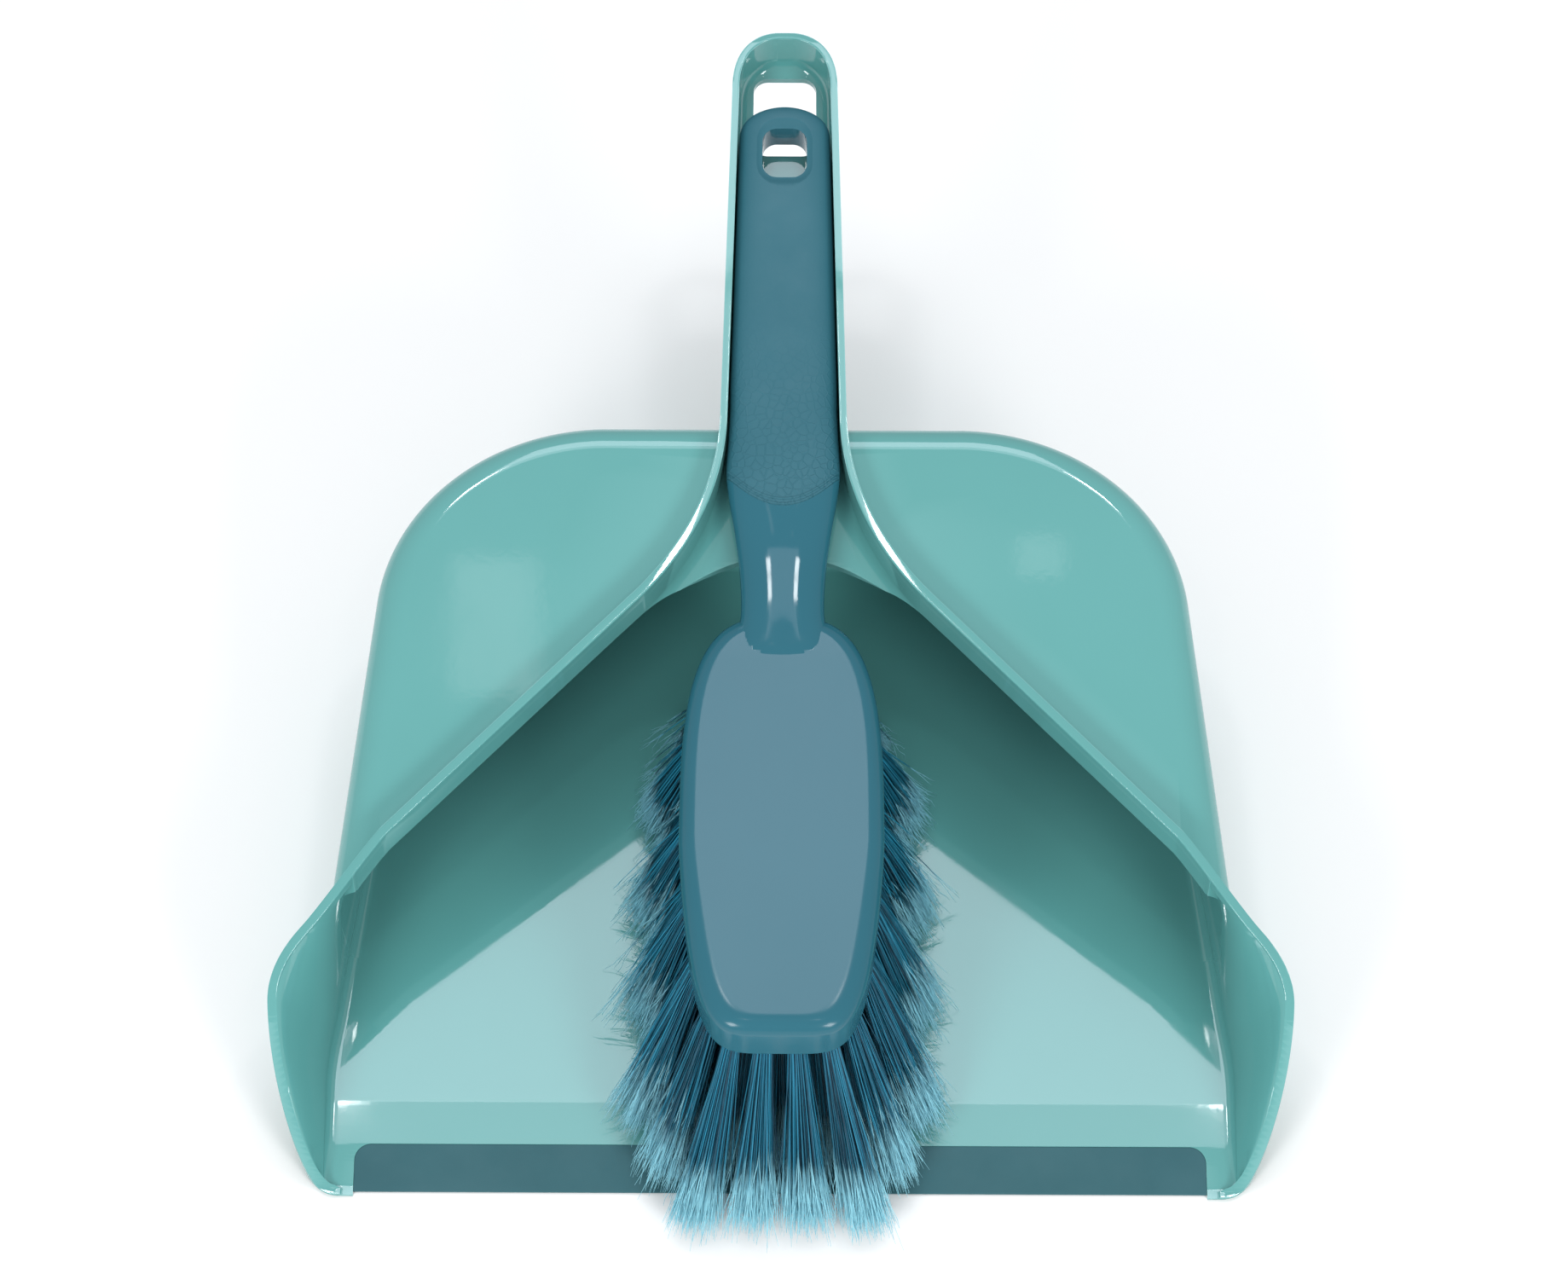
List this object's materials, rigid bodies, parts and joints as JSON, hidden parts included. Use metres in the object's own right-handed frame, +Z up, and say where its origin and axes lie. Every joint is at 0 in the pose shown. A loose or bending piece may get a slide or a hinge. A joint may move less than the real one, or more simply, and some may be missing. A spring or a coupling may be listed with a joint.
{
  "type": "dust pan and brush set",
  "caption": "Hooded dust pan with flared wings and a soft lip, its channel handle holding a hand brush with a soft grip and splayed bristles.",
  "frame": {"origin": "on the flat underside of the pan, on the middle plane, 100 mm behind the front edge of the lip", "axes": "+X across the pan, +Y from the lip to the end of the handle, +Z up; the pan stands on z = 0"},
  "size_m": [0.2672, 0.3103, 0.1026],
  "materials": {
    "pan_plastic": "glossy moulded plastic",
    "lip_rubber": "matt soft rubber",
    "brush_plastic": "glossy moulded plastic",
    "grip_rubber": "matt soft rubber with a fine raised pattern",
    "bristle_fibre": "fine nylon bristles with frayed tips",
    "anchor_steel": "plain steel strip"
  },
  "bodies": {
    "pan": {"pan_body": "pan_plastic", "pan_lip": "lip_rubber"},
    "brush": {"brush_body": "brush_plastic", "brush_grip": "grip_rubber", "tuft_anchors": "anchor_steel", "tuft_01_1": "bristle_fibre", "tuft_01_2": "bristle_fibre", "tuft_01_3": "bristle_fibre", "tuft_01_4": "bristle_fibre", "tuft_02_1": "bristle_fibre", "tuft_02_2": "bristle_fibre", "tuft_02_3": "bristle_fibre", "tuft_02_4": "bristle_fibre", "tuft_02_5": "bristle_fibre", "tuft_03_1": "bristle_fibre", "tuft_03_2": "bristle_fibre", "tuft_03_3": "bristle_fibre", "tuft_03_4": "bristle_fibre", "tuft_03_5": "bristle_fibre", "tuft_03_6": "bristle_fibre", "tuft_04_1": "bristle_fibre", "tuft_04_2": "bristle_fibre", "tuft_04_3": "bristle_fibre", "tuft_04_4": "bristle_fibre", "tuft_04_5": "bristle_fibre", "tuft_05_1": "bristle_fibre", "tuft_05_2": "bristle_fibre", "tuft_05_3": "bristle_fibre", "tuft_05_4": "bristle_fibre", "tuft_05_5": "bristle_fibre", "tuft_05_6": "bristle_fibre", "tuft_06_1": "bristle_fibre", "tuft_06_2": "bristle_fibre", "tuft_06_3": "bristle_fibre", "tuft_06_4": "bristle_fibre", "tuft_06_5": "bristle_fibre", "tuft_07_1": "bristle_fibre", "tuft_07_2": "bristle_fibre", "tuft_07_3": "bristle_fibre", "tuft_07_4": "bristle_fibre", "tuft_07_5": "bristle_fibre", "tuft_07_6": "bristle_fibre", "tuft_08_1": "bristle_fibre", "tuft_08_2": "bristle_fibre", "tuft_08_3": "bristle_fibre", "tuft_08_4": "bristle_fibre", "tuft_08_5": "bristle_fibre", "tuft_09_1": "bristle_fibre", "tuft_09_2": "bristle_fibre", "tuft_09_3": "bristle_fibre", "tuft_09_4": "bristle_fibre", "tuft_09_5": "bristle_fibre", "tuft_09_6": "bristle_fibre", "tuft_10_1": "bristle_fibre", "tuft_10_2": "bristle_fibre", "tuft_10_3": "bristle_fibre", "tuft_10_4": "bristle_fibre", "tuft_10_5": "bristle_fibre"}
  },
  "joints": [
    {"name": "brush_lift", "type": "slide", "parent": "pan", "child": "brush", "axis": [0, -0.1961, 0.9806], "range_m": [0, 0.15]}
  ]
}
